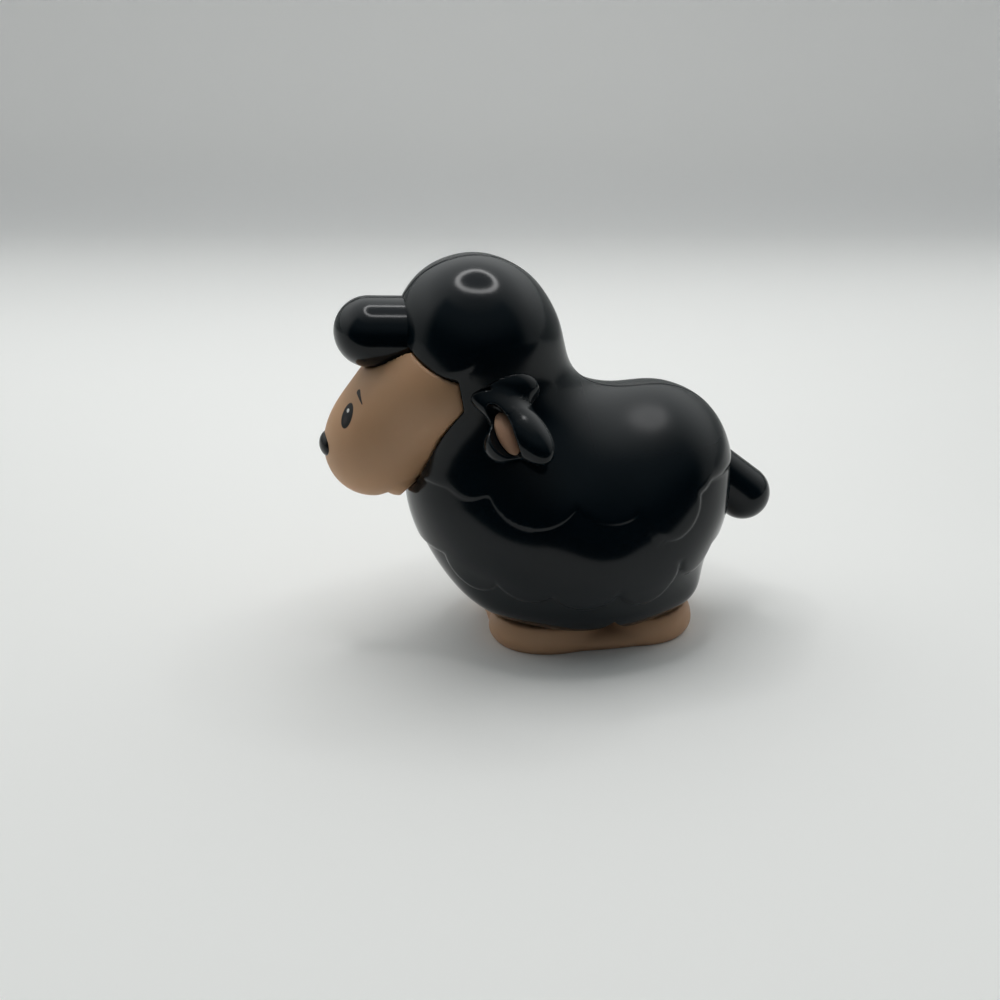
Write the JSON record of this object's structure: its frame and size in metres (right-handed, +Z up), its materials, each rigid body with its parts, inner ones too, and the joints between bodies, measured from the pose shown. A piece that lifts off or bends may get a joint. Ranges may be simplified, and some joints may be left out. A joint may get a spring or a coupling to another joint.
{
  "type": "toy farm animal figure",
  "caption": "Small rigid toy sheep: glossy black wool half shells over a tan face and foot block, with drooping cupped ears, a forehead tuft and a short tail.",
  "frame": {"origin": "on the floor plane under the middle of the figure, halfway between the nose tip and the tail tip", "axes": "+Z up, the nose points along -X, the sheep's left side is -Y, and the XZ plane is the plane of symmetry and of the parting seam"},
  "size_m": [0.0724, 0.0416, 0.0616],
  "materials": {
    "wool_black": "glossy moulded black plastic with soft wool relief",
    "ear_black": "glossy moulded black plastic",
    "nose_black": "semi-gloss black plastic",
    "face_tan": "satin tan vinyl-like plastic",
    "foot_tan": "satin tan vinyl-like plastic",
    "lining_tan": "satin tan vinyl-like plastic"
  },
  "bodies": {
    "root": {"fleece_left": "wool_black", "fleece_right": "wool_black", "face": "face_tan", "nose": "nose_black", "foot_base": "foot_tan", "ear_left": "ear_black", "ear_right": "ear_black", "ear_lining_left": "lining_tan", "ear_lining_right": "lining_tan"}
  },
  "joints": []
}
